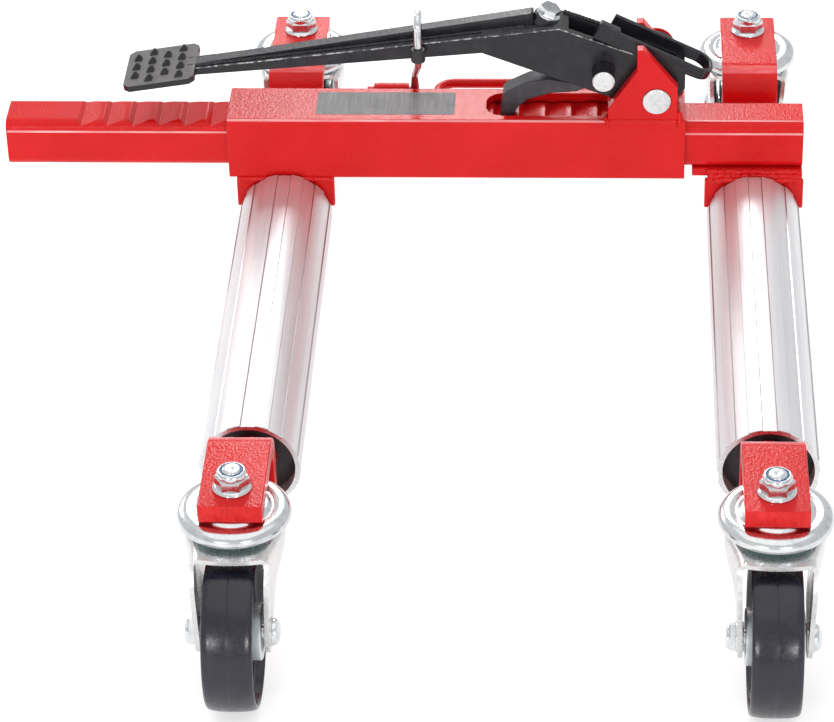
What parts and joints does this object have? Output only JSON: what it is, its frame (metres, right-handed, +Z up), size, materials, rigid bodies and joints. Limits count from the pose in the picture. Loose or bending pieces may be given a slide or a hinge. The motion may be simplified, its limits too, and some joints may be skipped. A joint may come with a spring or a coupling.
{
  "type": "vehicle positioning jack",
  "caption": "Wheeled positioning jack with two long rollers on a ratcheting square tube slide, a black foot pedal lever and pawls, on swivel casters at the corners.",
  "frame": {"origin": "middle of the footprint on the floor", "axes": "+Z up, the slide opens along +X, the rollers point along -Y"},
  "size_m": [0.569, 0.752, 0.2378],
  "materials": {
    "red_paint": "gloss powder coat",
    "bright_steel": "turned bright steel",
    "spring_steel": "oiled spring wire",
    "aluminium": "satin extruded finish",
    "nylon": "moulded black nylon",
    "black_paint": "semi-gloss black enamel on a casting",
    "dark_steel": "dark phosphate finish",
    "zinc": "bright zinc plate",
    "race_seal": "grey-green bearing seal",
    "black_wheel": "moulded black polymer"
  },
  "bodies": {
    "frame": {"outer_tube": "red_paint", "front_ear": "red_paint", "rear_ear": "red_paint", "main_pin": "bright_steel", "return_spring": "spring_steel", "spring_collar": "red_paint", "left_saddle": "red_paint", "left_axle": "red_paint", "left_front_arm": "red_paint", "left_rear_arm": "red_paint", "carry_handle": "red_paint", "keeper_barrel": "red_paint", "left_caster_stems": "zinc", "left_caster_nuts": "zinc", "left_front_cap": "zinc", "left_front_race": "race_seal", "left_rear_cap": "zinc", "left_rear_race": "race_seal"},
    "slide": {"inner_tube": "red_paint", "right_spacer": "red_paint", "right_saddle": "red_paint", "right_axle": "red_paint", "right_front_arm": "red_paint", "right_rear_arm": "red_paint", "right_caster_stems": "zinc", "right_caster_nuts": "zinc", "right_front_cap": "zinc", "right_front_race": "race_seal", "right_rear_cap": "zinc", "right_rear_race": "race_seal"},
    "left_roller": {"left_roller": "aluminium", "left_roller_bushes": "nylon"},
    "right_roller": {"right_roller": "aluminium", "right_roller_bushes": "nylon"},
    "pedal_lever": {"pedal_lever": "black_paint", "pawl_pin": "bright_steel", "lever_bolt": "zinc", "release_strap": "black_paint"},
    "drive_pawl": {"drive_pawl": "dark_steel"},
    "holding_pawl": {"holding_pawl": "dark_steel"},
    "pedal_keeper": {"keeper_rod": "zinc", "keeper_sleeve": "nylon"},
    "left_front_swivel": {"left_front_fork": "zinc", "left_front_axle_bolt": "zinc"},
    "left_front_wheel": {"left_front_wheel": "black_wheel", "left_front_hub": "zinc"},
    "left_rear_swivel": {"left_rear_fork": "zinc", "left_rear_axle_bolt": "zinc"},
    "left_rear_wheel": {"left_rear_wheel": "black_wheel", "left_rear_hub": "zinc"},
    "right_front_swivel": {"right_front_fork": "zinc", "right_front_axle_bolt": "zinc"},
    "right_front_wheel": {"right_front_wheel": "black_wheel", "right_front_hub": "zinc"},
    "right_rear_swivel": {"right_rear_fork": "zinc", "right_rear_axle_bolt": "zinc"},
    "right_rear_wheel": {"right_rear_wheel": "black_wheel", "right_rear_hub": "zinc"}
  },
  "joints": [
    {"name": "slide_travel", "type": "slide", "parent": "frame", "child": "slide", "axis": [1, 0, 0], "range_m": [0, 0.3]},
    {"name": "left_roller_spin", "type": "hinge", "parent": "frame", "child": "left_roller", "pos_m": [-0.0855, 0, 0.08], "axis": [0, 1, 0], "continuous": true},
    {"name": "right_roller_spin", "type": "hinge", "parent": "slide", "child": "right_roller", "pos_m": [0.2485, 0, 0.08], "axis": [0, 1, 0], "continuous": true},
    {"name": "pedal_swing", "type": "hinge", "parent": "frame", "child": "pedal_lever", "pos_m": [0.1785, 0.1405, 0.1725], "axis": [0, 1, 0], "range_deg": [0, 27]},
    {"name": "drive_pawl_swing", "type": "hinge", "parent": "pedal_lever", "child": "drive_pawl", "pos_m": [0.1412, 0.1405, 0.191], "axis": [0, 1, 0], "range_deg": [-42, 0]},
    {"name": "holding_pawl_swing", "type": "hinge", "parent": "frame", "child": "holding_pawl", "pos_m": [0.1785, 0.1405, 0.1725], "axis": [0, 1, 0], "range_deg": [0, 12]},
    {"name": "keeper_swing", "type": "hinge", "parent": "frame", "child": "pedal_keeper", "pos_m": [0.0117, 0.1702, 0.15], "axis": [1, 0, 0], "range_deg": [0, 18]},
    {"name": "left_front_swivel_turn", "type": "hinge", "parent": "frame", "child": "left_front_swivel", "pos_m": [-0.0855, -0.289, 0.1], "axis": [0, 0, 1], "range_deg": [-135, 135]},
    {"name": "left_front_wheel_spin", "type": "hinge", "parent": "left_front_swivel", "child": "left_front_wheel", "pos_m": [-0.0855, -0.326, 0.05], "axis": [1, 0, 0], "continuous": true},
    {"name": "left_rear_swivel_turn", "type": "hinge", "parent": "frame", "child": "left_rear_swivel", "pos_m": [-0.0855, 0.289, 0.1], "axis": [0, 0, 1], "range_deg": [-135, 135]},
    {"name": "left_rear_wheel_spin", "type": "hinge", "parent": "left_rear_swivel", "child": "left_rear_wheel", "pos_m": [-0.0855, 0.326, 0.05], "axis": [1, 0, 0], "continuous": true},
    {"name": "right_front_swivel_turn", "type": "hinge", "parent": "slide", "child": "right_front_swivel", "pos_m": [0.2485, -0.289, 0.1], "axis": [0, 0, 1], "range_deg": [-135, 135]},
    {"name": "right_front_wheel_spin", "type": "hinge", "parent": "right_front_swivel", "child": "right_front_wheel", "pos_m": [0.2485, -0.326, 0.05], "axis": [1, 0, 0], "continuous": true},
    {"name": "right_rear_swivel_turn", "type": "hinge", "parent": "slide", "child": "right_rear_swivel", "pos_m": [0.2485, 0.289, 0.1], "axis": [0, 0, 1], "range_deg": [-135, 135]},
    {"name": "right_rear_wheel_spin", "type": "hinge", "parent": "right_rear_swivel", "child": "right_rear_wheel", "pos_m": [0.2485, 0.326, 0.05], "axis": [1, 0, 0], "continuous": true}
  ],
  "couplings": [
    {"joint": "drive_pawl_swing", "follows": "pedal_swing", "ratio": -1.45},
    {"joint": "keeper_swing", "follows": "pedal_swing", "ratio": 0.6}
  ]
}
